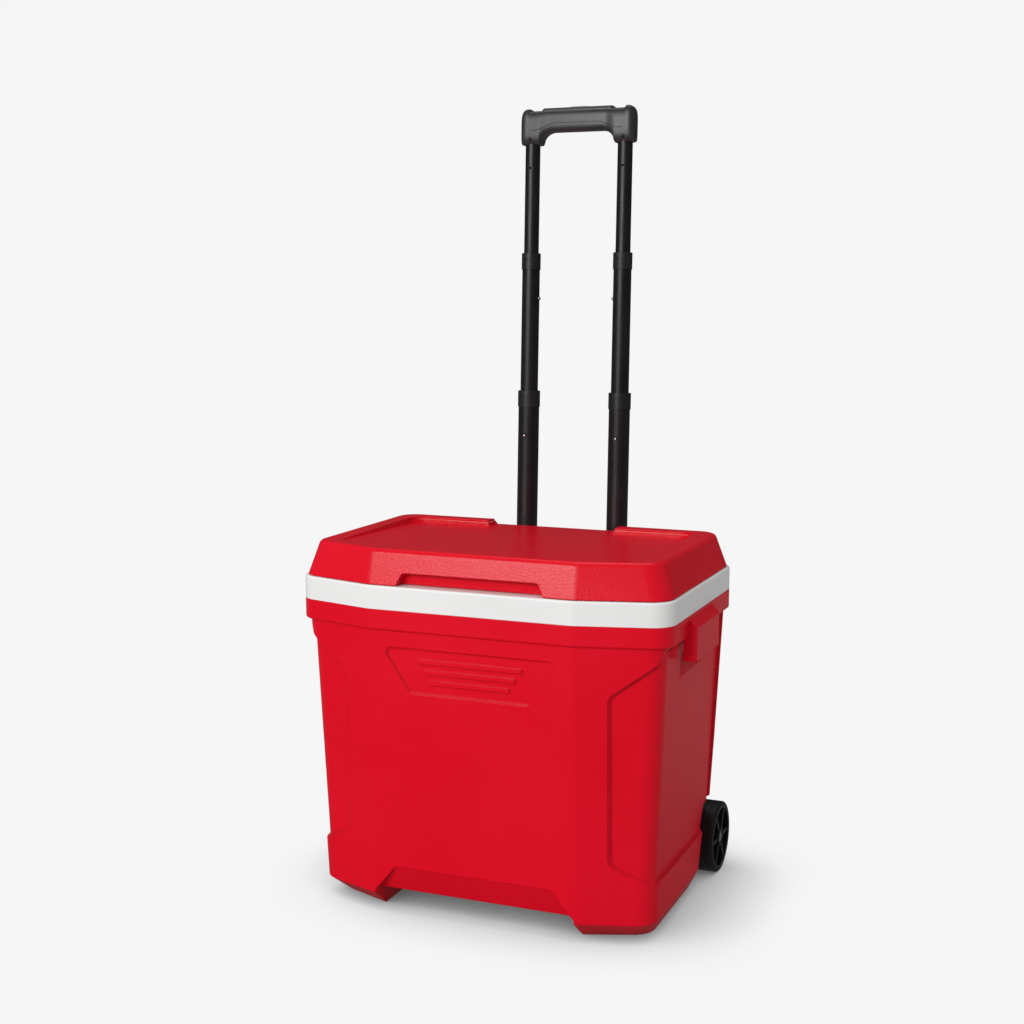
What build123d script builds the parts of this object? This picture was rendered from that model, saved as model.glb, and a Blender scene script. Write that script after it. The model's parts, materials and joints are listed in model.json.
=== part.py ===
from build123d import *
import math
import os

os.makedirs("parts", exist_ok=True)

# ---------------------------------------------------------------- driving dimensions (mm)
# Frame: X along the long front, Y from front to rear, Z up, floor at Z = 0.
BAND_HALF = 240.0          # half length of the rim band
BAND_FRONT = -197.0        # front plane of the rim band
BAND_REAR = 115.0
BAND_Z0 = 385.9
BAND_Z1 = 414.5
FLANGE_Z0 = 360.4          # underside of the red flange below the band
FLAT_HALF = 131.0          # flat centre facet of the front
SETBACK = 29.0             # how far the side facets fall back at the corners
CORNER_R = 30.0
REAR_R = 26.0
CREASE_R = 24.0

WALL_HALF = 234.0          # outer wall just below the flange
WALL_FRONT = -193.5
WALL_REAR = 111.5
DRAFT_SIDE = 0.0436
DRAFT_FRONT = 0.0273
DRAFT_REAR = 0.040
SHELL = 3.5                # outer shell wall
FOOT_Z = 24.0              # height of the foot chamfer
FOOT_RUN_SIDE = 12.0
FOOT_RUN_FRONT = 30.0
FOOT_RUN_REAR = 8.0
TUNNEL_HALF = 132.0        # raised underside between the two runners
TUNNEL_Z = 28.0

LINER = 3.0
TUB_TOP_HALF = 206.0
TUB_TOP_FRONT = -160.0
TUB_TOP_REAR = 78.0
TUB_BOT_HALF = 174.0
TUB_BOT_FRONT = -147.0
TUB_BOT_REAR = 56.0
TUB_FLOOR = 48.0
TUB_R = 34.0

PANEL_X = 172.0            # corner panel recess
PANEL_DEPTH = 4.2
PANEL_Z = (75.0, 98.0, 300.0, 338.0)
LOGO_Z = (286.0, 339.0)
LOGO_HALF = (76.0, 113.0)
LOGO_DEPTH = 2.4
STEP = 1.4                 # width of each step of a softened recess edge
TOE_Z = (30.0, 62.0)
TOE_HALF = (131.0, 102.0)
TOE_SET = (1.0, 14.0)      # how far the toe panel is set back at its top and bottom

WELL_X = 190.0             # wheel wells in the rear lower corners
WHEEL_R = 46.5
WHEEL_Y = 113.0
WHEEL_OUT = 230.0
WHEEL_W = 34.0
AXLE_R = 5.0

LUG_X = 250.0              # side carry handles
LUG_HALF = 51.0
LUG_Y = -43.0
LUG_Z = (332.0, 378.0)

LID_Z0 = 415.3
LID_Z1 = 457.5
LID_BOT = (237.0, -194.0, 112.0)
LID_TOP = (224.0, -184.0, 101.0)
LID_WALL = 3.0
LID_RECESS = (0.4, 7.0)    # tray depth at the front and at the rear
NOTCH_Z = 430.5
NOTCH_HALF = (94.0, 87.0)
NOTCH_DEPTH = 16.0

HINGE_X = 150.0
HINGE_Y = 122.0
HINGE_Z = 436.0
KNUCKLE_R = 6.0
HINGE_PIN_R = 2.5

TUBE_X = 65.6              # telescoping handle
TUBE_Y = 155.8             # tube axis at Z = TUBE_Z
TUBE_Z = 400.0
LEAN = 0.040
HOUSING_R = 17.0
HOUSING = (-352.0, 22.0)
LOWER_R = 14.25
MIDDLE_R = 12.0
UPPER_R = 10.0
TUBE_WALL = 1.4
LOWER = (-45.0, 228.0)     # stage ends along the tube axis, from Z = TUBE_Z
MIDDLE = (165.0, 414.5)
UPPER = (352.0, 585.0)
GRIP_Z = (558.0, 606.0)
GRIP_HALF = 80.5
GRIP_DEPTH = 36.0
COLLAR_H = 22.0
LOCK_DROP = 61.0

LEAN_DEG = math.degrees(math.atan(LEAN))


# ---------------------------------------------------------------- helpers
def plan(z, half, front, rear, flat=FLAT_HALF, setback=SETBACK, r_front=CORNER_R, r_rear=REAR_R):
    """Horizontal outline with a three-facet front, at height z."""
    points = [
        (-flat, front),
        (flat, front),
        (half, front + setback),
        (half, rear),
        (-half, rear),
        (-half, front + setback),
    ]
    face = Plane.XY.offset(z) * make_face(Polyline(*points, close=True))
    corners = face.vertices()
    rear_corners = [v for v in corners if abs(v.Y - rear) < 0.01]
    front_corners = [v for v in corners if abs(abs(v.X) - half) < 0.01 and v.Y < rear - 1]
    crease = [v for v in corners if abs(v.Y - front) < 0.01]
    for group, radius in ((rear_corners, r_rear), (front_corners, r_front), (crease, CREASE_R)):
        spots = [(v.X, v.Y) for v in group]
        now = [v for v in face.vertices() if any(abs(v.X - x) + abs(v.Y - y) < 0.02 for x, y in spots)]
        face = fillet(now, radius)
    return face


def tapered(z0, size0, z1, size1, **kw):
    """Solid between two outlines, each size a (half, front, rear) triple."""
    return loft([plan(z0, *size0, **kw), plan(z1, *size1, **kw)], ruled=True)


def wall_size(z, inset=0.0):
    """Outline of the drafted body wall at height z, moved in by inset."""
    drop = FLANGE_Z0 - z
    return (
        WALL_HALF - DRAFT_SIDE * drop - inset,
        WALL_FRONT + DRAFT_FRONT * drop + inset,
        WALL_REAR - DRAFT_REAR * drop - inset,
    )


def rounded(radius_front, inset):
    """Corner radii that stay parallel to the outer wall."""
    return {"r_front": radius_front - inset, "r_rear": REAR_R - inset * 0.8}


def wall_solid(z0, z1, inset=0.0):
    return tapered(z0, wall_size(z0, inset), z1, wall_size(z1, inset), **rounded(CORNER_R, inset))


def prism_y(points, y0, y1):
    """Solid of an XZ polygon between two Y planes."""
    face = Plane((0, y0, 0), x_dir=(1, 0, 0), z_dir=(0, -1, 0)) * make_face(Polyline(*points, close=True))
    return extrude(face, -(y1 - y0))


def prism_x(points, x0, x1):
    """Solid of a YZ polygon between two X planes."""
    face = Plane((x0, 0, 0), x_dir=(0, 1, 0), z_dir=(1, 0, 0)) * make_face(Polyline(*points, close=True))
    return extrude(face, x1 - x0)


def block(x0, x1, y0, y1, z0, z1):
    return Pos((x0 + x1) / 2, (y0 + y1) / 2, (z0 + z1) / 2) * Box(x1 - x0, y1 - y0, z1 - z0)


def rod_x(r, x0, x1, y, z):
    return Pos((x0 + x1) / 2, y, z) * Rot(0, 90, 0) * Cylinder(r, x1 - x0)


def rod_y(r, y0, y1, x, z):
    return Pos(x, (y0 + y1) / 2, z) * Rot(90, 0, 0) * Cylinder(r, y1 - y0)


def along(side):
    """Frame of a handle tube: its Z runs up the leaning tube axis."""
    return Pos(side * TUBE_X, TUBE_Y, TUBE_Z) * Rot(-LEAN_DEG, 0, 0)


def pipe(side, r, wall, s0, s1):
    """Hollow tube on a handle axis between two stations."""
    outer = Pos(0, 0, (s0 + s1) / 2) * Cylinder(r, s1 - s0)
    inner = Pos(0, 0, (s0 + s1) / 2) * Cylinder(r - wall, s1 - s0 + 2)
    return along(side) * (outer - inner)


def rod_s(side, r, s0, s1, x=0.0, y=0.0):
    return along(side) * Pos(x, y, (s0 + s1) / 2) * Cylinder(r, s1 - s0)


def mirrored(shape):
    return mirror(shape, about=Plane.YZ)


def drilled(shape, holes):
    """Cut each hole that reaches the shape, and keep the main solid."""
    box = shape.bounding_box()
    for hole in holes:
        spot = hole.bounding_box()
        apart = [
            spot.max.X < box.min.X or spot.min.X > box.max.X,
            spot.max.Y < box.min.Y or spot.min.Y > box.max.Y,
            spot.max.Z < box.min.Z or spot.min.Z > box.max.Z,
        ]
        if any(apart):
            continue
        before = max(shape.solids(), key=lambda b: b.volume)
        after = max((before - hole).solids(), key=lambda b: b.volume)
        taken = before.volume - after.volume
        print(f"hole at {hole.center().X:.0f} {hole.center().Y:.0f} {hole.center().Z:.0f} took {taken:.1f}")
        shape = after
    return max(shape.solids(), key=lambda b: b.volume)


def save(shape, name):
    """Write one node: the solids only, checked and labelled."""
    solids = list(shape.solids())
    for body in solids:
        assert body.is_valid, name
    out = solids[0] if len(solids) == 1 else Compound(children=solids)
    out.label = name
    export_step(out, "parts/" + name + ".step")
    box = out.bounding_box()
    print(f"{name:24s} {len(solids):3d} {box.size.X:7.1f} {box.size.Y:7.1f} {box.size.Z:7.1f}")
    return out


def screw(r_head, h_head, r_shank, length):
    """Pan head screw, head on +Z, seat at the origin, shank down."""
    head = Pos(0, 0, h_head / 2) * Cylinder(r_head, h_head)
    head = fillet(head.edges().sort_by(Axis.Z)[-1], h_head * 0.45)
    recess = Pos(0, 0, h_head) * (Box(r_head * 1.1, 0.9, 1.6) + Box(0.9, r_head * 1.1, 1.6))
    return head - recess + Pos(0, 0, -length / 2) * Cylinder(r_shank, length)


# ---------------------------------------------------------------- body shell
def corner_panels(depth, grow):
    """Layer to take off the wall where the corner panels are recessed."""
    top = FLANGE_Z0 + 1 if grow == 0 else FLANGE_Z0
    x0 = PANEL_X - grow
    outline = [
        (x0, PANEL_Z[1] - grow * 0.4),
        (WALL_HALF - 16, PANEL_Z[0] - grow),
        (WALL_HALF + 40, PANEL_Z[0] - grow),
        (WALL_HALF + 40, top),
        (WALL_HALF - 2, top),
        (WALL_HALF - 10, PANEL_Z[3] + grow),
        (x0, PANEL_Z[2] + grow * 0.4),
    ]
    # rounded upright edge of the recess
    region = prism_y(outline, BAND_FRONT - 20, 84.0 + grow)
    edges = [e for e in region.edges().filter_by(Axis.Y) if abs(e.center().X - x0) < 0.5]
    region = fillet(edges, 14)
    layer = wall_solid(FOOT_Z, FLANGE_Z0) - wall_solid(FOOT_Z - 1, FLANGE_Z0 + 2, depth)
    side = layer & region
    return side + mirrored(side)


def front_recess(z, half, depth, grow, radius):
    """Trapezium recess in the front wall; half = (bottom, top) half widths."""
    outline = [
        (-half[0] - grow, z[0] - grow),
        (half[0] + grow, z[0] - grow),
        (half[1] + grow, z[1] + grow),
        (-half[1] - grow, z[1] + grow),
    ]
    region = prism_y(outline, BAND_FRONT - 20, BAND_FRONT + 60)
    region = fillet(region.edges().filter_by(Axis.Y), radius)
    layer = wall_solid(FOOT_Z - 4, FLANGE_Z0) - wall_solid(FOOT_Z - 6, FLANGE_Z0 + 2, depth)
    return layer & region


def emblem_bars():
    """Three plain raised bars that fill the front recess in place of any lettering."""
    layer = wall_solid(LOGO_Z[0] - 20, LOGO_Z[1] + 20, 0.6) - wall_solid(LOGO_Z[0] - 22, LOGO_Z[1] + 22, LOGO_DEPTH + 1)
    bars = None
    for k in range(3):
        z = LOGO_Z[0] + 14.0 + 12.5 * k
        half = 52.0 + 8.0 * k
        ends = [(-half, z - 3), (half, z - 3), (half, z + 3), (-half, z + 3)]
        bar = prism_y(ends, BAND_FRONT - 20, BAND_FRONT + 60)
        bar = fillet(bar.edges().filter_by(Axis.Y), 2.9)
        bars = bar if bars is None else bars + bar
    return layer & bars


def toe_panel(grow):
    """Wedge off the front wall between the feet: the panel leans back towards its lower edge."""
    top, low = TOE_Z[1], -6.0
    slope = (TOE_SET[1] - TOE_SET[0]) / (TOE_Z[1] - TUNNEL_Z)
    y_top = wall_size(top)[1] + TOE_SET[0] + grow
    y_low = wall_size(low)[1] + TOE_SET[0] + grow + slope * (top - low)
    face_line = [(BAND_FRONT - 30, low), (y_low, low), (y_top, top + grow), (BAND_FRONT - 30, top + grow)]
    wedge = prism_x(face_line, -200, 200)
    outline = [
        (-TOE_HALF[0] - grow, low),
        (TOE_HALF[0] + grow, low),
        (TOE_HALF[0] + grow, TUNNEL_Z),
        (TOE_HALF[1] + grow, top + grow),
        (-TOE_HALF[1] - grow, top + grow),
        (-TOE_HALF[0] - grow, TUNNEL_Z),
    ]
    region = prism_y(outline, BAND_FRONT - 30, BAND_FRONT + 120)
    upper = [e for e in region.edges().filter_by(Axis.Y) if e.center().Z > top - 1]
    return wedge & fillet(upper, 5)


def wheel_well(grow):
    """Space taken out of a rear lower corner for a wheel (right side)."""
    outline = [
        (36.0 - grow, -5.0),
        (48.0 - grow, 62.0),
        (62.0 - grow, 104.0 + grow * 0.6),
        (150.0, 126.0 + grow),
        (150.0, -5.0),
    ]
    return prism_x(outline, WELL_X - grow, WALL_HALF + 30)


def lug_block():
    """Moulded carry lip on the right side, before the finger room is cut."""
    y0, y1 = LUG_Y - LUG_HALF, LUG_Y + LUG_HALF
    outline = [
        (222.0, LUG_Z[0]),
        (LUG_X, LUG_Z[0]),
        (LUG_X, LUG_Z[1] - 6),
        (BAND_HALF - 1, BAND_Z0 - 3),
        (222.0, BAND_Z0 - 3),
    ]
    lug = prism_y(outline, y0, y1)
    return fillet(lug.edges().filter_by(Axis.Z), 3)


def finger_scoop(grow):
    """Ramp pocket under the carry lip and the room behind it (right side)."""
    y0, y1 = LUG_Y - LUG_HALF + 6 - grow, LUG_Y + LUG_HALF - 6 + grow
    outline = [
        (237.0, 276.0 - grow * 3),
        (221.0 - grow, 332.0),
        (221.0 - grow, 366.0 + grow),
        (245.0, 366.0 + grow),
        (245.0, LUG_Z[0] - 8),
        (260.0, LUG_Z[0] - 8),
        (260.0, 276.0 - grow * 3),
    ]
    return prism_y(outline, y0, y1)


def tunnel(grow):
    outline = [
        (-TUNNEL_HALF - grow, -5),
        (TUNNEL_HALF + grow, -5),
        (TUNNEL_HALF - 2 + grow, TUNNEL_Z + grow),
        (-TUNNEL_HALF + 2 - grow, TUNNEL_Z + grow),
    ]
    return prism_y(outline, BAND_FRONT - 10, BAND_REAR + 10)


def body_envelope(inset):
    """Body below the band as a full solid, moved in by inset."""
    low = wall_size(FOOT_Z, inset)
    sole = (low[0] - FOOT_RUN_SIDE, low[1] + FOOT_RUN_FRONT, low[2] - FOOT_RUN_REAR)
    foot = tapered(inset, sole, FOOT_Z, low, **rounded(CORNER_R, inset))
    wall = wall_solid(FOOT_Z, FLANGE_Z0 + inset, inset)
    size = (BAND_HALF - inset, BAND_FRONT + inset, BAND_REAR - inset)
    top = BAND_Z0 if inset == 0 else BAND_Z1 - LINER - 1
    flange = tapered(FLANGE_Z0 + inset, size, top, size, **rounded(CORNER_R, inset))
    if inset == 0:
        flange = fillet(flange.edges().group_by(Axis.Z)[0], 3.0)
    return foot + wall + flange


def both(shape):
    return shape + mirrored(shape)


outer = body_envelope(0.0)
outer += both(lug_block())
for k in range(3):
    outer -= corner_panels(PANEL_DEPTH * (k + 1) / 3, (2 - k) * STEP)
for k in range(2):
    outer -= front_recess(LOGO_Z, LOGO_HALF, LOGO_DEPTH * (k + 1) / 2, (1 - k) * STEP, 7)
outer += emblem_bars()
outer -= toe_panel(0)
outer -= both(finger_scoop(0))
outer -= both(wheel_well(0))
outer -= tunnel(0)

void = body_envelope(SHELL)
void -= corner_panels(PANEL_DEPTH + SHELL, SHELL)
void -= front_recess(LOGO_Z, LOGO_HALF, LOGO_DEPTH + SHELL, SHELL, 7)
void -= toe_panel(SHELL)
void -= both(finger_scoop(SHELL))
void -= both(wheel_well(SHELL))
void -= tunnel(SHELL)

shell = outer - void
shell = max(shell.solids(), key=lambda s: s.volume)

# ---------------------------------------------------------------- liner: tub and rim band in one moulding
band_size = (BAND_HALF, BAND_FRONT, BAND_REAR)
skirt = SHELL
inner_band = (BAND_HALF - skirt, BAND_FRONT + skirt, BAND_REAR - skirt)
band = tapered(BAND_Z0, band_size, BAND_Z1, band_size)
band = fillet([e for e in band.edges() if abs(e.center().Z - BAND_Z1) < 0.01], 2.5)
band -= tapered(BAND_Z0 - 1, inner_band, BAND_Z1 - LINER - 1, inner_band, **rounded(CORNER_R, skirt))
tub_kw = {"flat": 110.0, "setback": 12.0, "r_front": TUB_R, "r_rear": TUB_R}
tub_top = (TUB_TOP_HALF, TUB_TOP_FRONT, TUB_TOP_REAR)
tub_bot = (TUB_BOT_HALF, TUB_BOT_FRONT, TUB_BOT_REAR)
tub_out_top = (TUB_TOP_HALF + LINER, TUB_TOP_FRONT - LINER, TUB_TOP_REAR + LINER)
tub_out_bot = (TUB_BOT_HALF + LINER, TUB_BOT_FRONT - LINER, TUB_BOT_REAR + LINER)
tub_out = tapered(TUB_FLOOR - LINER, tub_out_bot, BAND_Z1 - 1, tub_out_top, **tub_kw)
tub_out = fillet(tub_out.edges().group_by(Axis.Z)[0], 13)
tub_in = tapered(TUB_FLOOR, tub_bot, BAND_Z1 + 1, tub_top, **tub_kw)
tub_in = fillet(tub_in.edges().group_by(Axis.Z)[0], 10)
liner = band + tub_out - tub_in
insulation = void - tub_out
# screws into the rear wall end in solid pads of the moulding, not in the foam

# ---------------------------------------------------------------- lid
lid_kw = {"flat": FLAT_HALF, "setback": SETBACK}


def lid_notch(grow):
    outline = [
        (-NOTCH_HALF[0] - grow, LID_Z0 - 20),
        (NOTCH_HALF[0] + grow, LID_Z0 - 20),
        (NOTCH_HALF[0] + grow, LID_Z0 + 1),
        (NOTCH_HALF[1] + grow, NOTCH_Z + grow),
        (-NOTCH_HALF[1] - grow, NOTCH_Z + grow),
        (-NOTCH_HALF[0] - grow, LID_Z0 + 1),
    ]
    notch = prism_y(outline, BAND_FRONT - 10, LID_BOT[1] + NOTCH_DEPTH + grow)
    upper = [e for e in notch.edges().filter_by(Axis.Y) if e.center().Z > NOTCH_Z - 2]
    return fillet(upper, 5)


def lid_tray(grow, raise_floor=0.0):
    """Tray in the lid top: its floor falls to the rear, where it is open for the handle tubes."""
    half, front, rear = 196.0 + grow, -172.0, 74.0 + grow
    z_front = LID_Z1 - LID_RECESS[0] + raise_floor
    z_rear = LID_Z1 - LID_RECESS[1] + raise_floor
    fall = (z_front - z_rear) / (rear - front)
    floor_line = [
        (front - 30, z_front + fall * 30),
        (130, z_rear - fall * (130 - rear)),
        (130, LID_Z1 + 8),
        (front - 30, LID_Z1 + 8),
    ]
    wedge = prism_x(floor_line, -260, 260)
    size = (half, front - grow, rear)
    area = tapered(LID_Z1 - 20, size, LID_Z1 + 8, size, r_front=22, r_rear=20)
    area += block(-87 - grow, 87 + grow, 40, 130, LID_Z1 - 20, LID_Z1 + 8)
    return wedge & area


lid_outer = tapered(LID_Z0, LID_BOT, LID_Z1, LID_TOP)
lid_outer = fillet(lid_outer.edges().group_by(Axis.Z)[-1], 7)
lid_void = tapered(
    LID_Z0 - 1,
    tuple(a + b for a, b in zip(LID_BOT, (-LID_WALL, LID_WALL, -LID_WALL))),
    LID_Z1 - LID_WALL,
    tuple(a + b for a, b in zip(LID_TOP, (-LID_WALL, LID_WALL, -LID_WALL))),
    **rounded(CORNER_R, LID_WALL),
)
lid_void = fillet(lid_void.edges().group_by(Axis.Z)[-1], 4.5)
lid_void -= lid_tray(LID_WALL, -LID_WALL)
lid_void -= lid_notch(LID_WALL)
lid_shell = lid_outer - lid_void - lid_notch(0)
for k in range(3):
    lid_shell -= lid_tray(1.5 * k, 1.9 * k)

PLATE_Z = (416.6, 419.0)
plate_size = (LID_BOT[0] - 4.5, LID_BOT[1] + 4.5, LID_BOT[2] - 4.5)
plate = tapered(PLATE_Z[0], plate_size, PLATE_Z[1], plate_size, **rounded(CORNER_R, 4.5)) - lid_notch(LID_WALL + 0.5)
plate = plate & lid_void
plug_top = (TUB_TOP_HALF - 4, TUB_TOP_FRONT + 4.5, TUB_TOP_REAR - 4)
plug_bot = (TUB_TOP_HALF - 7, TUB_TOP_FRONT + 8, TUB_TOP_REAR - 7)
plug_in_top = (plug_top[0] - 2.5, plug_top[1] + 2.5, plug_top[2] - 2.5)
plug_in_bot = (plug_bot[0] - 2.5, plug_bot[1] + 2.5, plug_bot[2] - 2.5)
plug_kw = {"flat": 108.0, "setback": 12.0, "r_front": 30.0, "r_rear": 30.0}
plug = tapered(401.5, plug_bot, PLATE_Z[1], plug_top, **plug_kw)
plug = fillet(plug.edges().group_by(Axis.Z)[0], 4)
plug_hollow = tapered(404.0, plug_in_bot, PLATE_Z[1] + 0.01, plug_in_top, **plug_kw)
lid_liner = plate + plug - plug_hollow
upper_foam = lid_void - block(-300, 300, -300, 300, 300, PLATE_Z[1])
lid_foam = upper_foam + plug_hollow

gasket_kw = {"flat": 110.0, "setback": 12.0, "r_front": 36.0, "r_rear": 36.0}
gasket_out = (TUB_TOP_HALF + 10, TUB_TOP_FRONT - 9, TUB_TOP_REAR + 10)
gasket_in = (TUB_TOP_HALF + 4, TUB_TOP_FRONT - 3, TUB_TOP_REAR + 4)
gasket = tapered(414.6, gasket_out, PLATE_Z[0], gasket_out, **gasket_kw)
gasket -= tapered(414.0, gasket_in, 420.0, gasket_in, **gasket_kw)

# ---------------------------------------------------------------- lid hinges
def hinge_parts(x):
    """Body leaf, lid leaf, pin and screws of one hinge at x."""
    ends = [(-23.0, -9.5), (9.5, 23.0)]
    centre = (-9.0, 9.0)
    body = block(x - 23, x + 23, BAND_REAR, BAND_REAR + 3, 389.5, 412.0)
    for x0, x1 in ends:
        arm = [(BAND_REAR, 405.0), (BAND_REAR + 3, 400.0), (127.4, 418.0), (127.4, HINGE_Z), (119.5, HINGE_Z), (115.5, 414.0)]
        body += prism_x(arm, x + x0, x + x1)
        body += rod_x(KNUCKLE_R, x + x0, x + x1, HINGE_Y, HINGE_Z)
    body -= rod_x(HINGE_PIN_R + 0.02, x - 30, x + 30, HINGE_Y, HINGE_Z)
    lid = rod_x(KNUCKLE_R, x + centre[0], x + centre[1], HINGE_Y, HINGE_Z)
    arm = [(109.0, 432.5), (122.0, 430.3), (122.0, 441.8), (106.8, 441.0)]
    lid += prism_x(arm, x + centre[0], x + centre[1])
    slope = (LID_TOP[2] - LID_BOT[2]) / (LID_Z1 - LID_Z0)
    y_low = LID_BOT[2] + slope * (420.0 - LID_Z0)
    y_high = LID_BOT[2] + slope * (448.0 - LID_Z0)
    leaf = [(y_low, 420.0), (y_low + 3, 420.0), (y_high + 3, 448.0), (y_high, 448.0)]
    lid += prism_x(leaf, x - 23, x + 23)
    lid -= rod_x(KNUCKLE_R + 0.8, x - 23.5, x - 9, HINGE_Y, HINGE_Z)
    lid -= rod_x(KNUCKLE_R + 0.8, x + 9, x + 23.5, HINGE_Y, HINGE_Z)
    lid -= rod_x(HINGE_PIN_R + 0.08, x - 30, x + 30, HINGE_Y, HINGE_Z)
    pin = rod_x(HINGE_PIN_R, x - 23.6, x + 23.6, HINGE_Y, HINGE_Z)
    pin += rod_x(4.2, x + 23.05, x + 25.2, HINGE_Y, HINGE_Z)
    return body, lid, pin


SCREW_R = 1.9
HOLE_PLAY = 0.02
hinge_nodes = {}
body_screw_holes = []
lid_screw_holes = []
body_screws = []
lid_screws = []
lid_tilt = math.degrees(math.atan((LID_BOT[2] - LID_TOP[2]) / (LID_Z1 - LID_Z0)))
for side, name in ((-1, "left"), (1, "right")):
    hinge_nodes[name] = hinge_parts(side * HINGE_X)
    for dx in (-15.5, 15.5):
        spot = Pos(side * HINGE_X + dx, BAND_REAR + 3, 396.0) * Rot(-90, 0, 0)
        body_screws.append(spot * screw(3.6, 2.0, SCREW_R, 10.0))
        hole = spot * Pos(0, 0, -4.5) * Rot(0, 0, 31) * Cylinder(SCREW_R + HOLE_PLAY, 11.0)
        body_screw_holes.append(hole)
        z = 425.5
        y = LID_BOT[2] - math.tan(math.radians(lid_tilt)) * (z - LID_Z0) + 3 / math.cos(math.radians(lid_tilt))
        spot = Pos(side * HINGE_X + dx, y, z) * Rot(-90 + lid_tilt, 0, 0)
        lid_screws.append(spot * screw(3.4, 1.8, SCREW_R, 9.0))
        hole = spot * Pos(0, 0, -4.5) * Rot(0, 0, 31) * Cylinder(SCREW_R + HOLE_PLAY, 9.8)
        lid_screw_holes.append(hole)

# ---------------------------------------------------------------- telescoping handle
stages = {}
for side, name in ((-1, "left"), (1, "right")):
    # fixed housing tube on the back of the body, with a closed foot
    housing = pipe(side, HOUSING_R, HOUSING_R - LOWER_R - 0.35, HOUSING[0], HOUSING[1])
    housing += rod_s(side, HOUSING_R, HOUSING[0] - 3, HOUSING[0])
    stages["housing_" + name] = housing

    lower = pipe(side, LOWER_R, TUBE_WALL, LOWER[0], LOWER[1] - 2.2)
    middle = pipe(side, MIDDLE_R, TUBE_WALL, MIDDLE[0], MIDDLE[1] - 2.2)
    upper = pipe(side, UPPER_R, TUBE_WALL, UPPER[0], UPPER[1])
    # lock holes: the lower one faces the front, the upper one faces the other tube
    s_low = LOWER[1] - LOCK_DROP
    s_mid = MIDDLE[1] - LOCK_DROP
    front_hole = along(side) * Pos(0, -LOWER_R, s_low) * Rot(90, 0, 0) * Cylinder(2.6, 10)
    inner_hole = along(side) * Pos(-side * MIDDLE_R, 0, s_mid) * Rot(0, 90, 0) * Cylinder(2.6, 10)
    lower -= front_hole
    middle -= inner_hole
    upper -= along(side) * Pos(0, -UPPER_R, GRIP_Z[0] - 30) * Rot(90, 0, 0) * Cylinder(1.6, 8)
    stages["lower_tube_" + name] = lower
    stages["middle_tube_" + name] = middle
    stages["upper_tube_" + name] = upper


def collar(side, tube_r, bore_r, s_top):
    """End collar of a stage: a sleeve over the tube with a lip at the top and a latch window."""
    body = Pos(0, 0, s_top - COLLAR_H / 2) * Cylinder(tube_r + 0.9, COLLAR_H)
    body = fillet(body.edges().sort_by(Axis.Z)[-1], 0.7)
    body -= Pos(0, 0, s_top - 2.1 - 30) * Cylinder(tube_r + 0.01, 60)
    body -= Pos(0, 0, s_top) * Cylinder(bore_r + 0.15, 20)
    window = Pos(0, -tube_r, s_top - 13) * Box(6.5, 6, 10.5)
    return along(side) * (body - window)


def collar_tab(side, tube_r, s_top):
    """Latch tab seen in the collar window."""
    ring = Pos(0, 0, s_top - 13) * (Cylinder(tube_r + 0.55, 9.6) - Cylinder(tube_r + 0.02, 12))
    return along(side) * (ring & (Pos(0, -tube_r, s_top - 13) * Box(5.6, 6, 12)))


def end_plug(side, tube_r, parent_r, s0):
    """Guide plug in the bottom of a stage, running inside the tube around it."""
    ring = Pos(0, 0, s0 - 3) * Cylinder(parent_r - 0.2, 6)
    spigot = Pos(0, 0, s0 + 7) * Cylinder(tube_r - TUBE_WALL - 0.01, 14)
    hole = Pos(0, 0, s0) * Cylinder(3.4, 60)
    return along(side) * (ring + spigot - hole)


collars = {}
for side, name in ((-1, "left"), (1, "right")):
    collars["lower_collar_" + name] = collar(side, LOWER_R, MIDDLE_R, LOWER[1])
    collars["upper_collar_" + name] = collar(side, MIDDLE_R, UPPER_R, MIDDLE[1])
lower_tabs = [collar_tab(s, LOWER_R, LOWER[1]) for s in (-1, 1)]
upper_tabs = [collar_tab(s, MIDDLE_R, MIDDLE[1]) for s in (-1, 1)]
lower_plugs = [end_plug(s, LOWER_R, LOWER_R + 0.35, LOWER[0]) for s in (-1, 1)]
middle_plugs = [end_plug(s, MIDDLE_R, LOWER_R - TUBE_WALL, MIDDLE[0]) for s in (-1, 1)]
upper_plugs = [end_plug(s, UPPER_R, MIDDLE_R - TUBE_WALL, UPPER[0]) for s in (-1, 1)]


def lock_button(side, tube_r, s, facing):
    """Round catch filling a lock hole, flush with both faces of the tube wall."""
    ring = Pos(0, 0, s) * (Cylinder(tube_r, 12) - Cylinder(tube_r - TUBE_WALL, 14))
    if facing == "front":
        core = Pos(0, -tube_r, s) * Rot(90, 0, 0) * Cylinder(2.58, 10)
    else:
        core = Pos(-side * tube_r, 0, s) * Rot(0, 90, 0) * Cylinder(2.58, 10)
    return along(side) * (ring & core)


lower_locks = [lock_button(s, LOWER_R, LOWER[1] - LOCK_DROP, "front") for s in (-1, 1)]
middle_locks = [lock_button(s, MIDDLE_R, MIDDLE[1] - LOCK_DROP, "inner") for s in (-1, 1)]

# brackets that tie the two housing tubes to the rear wall
def wall_rear(z):
    return WALL_REAR - DRAFT_REAR * (FLANGE_Z0 - z)


def tube_centre_y(z):
    return TUBE_Y + LEAN * (z - TUBE_Z)


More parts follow.
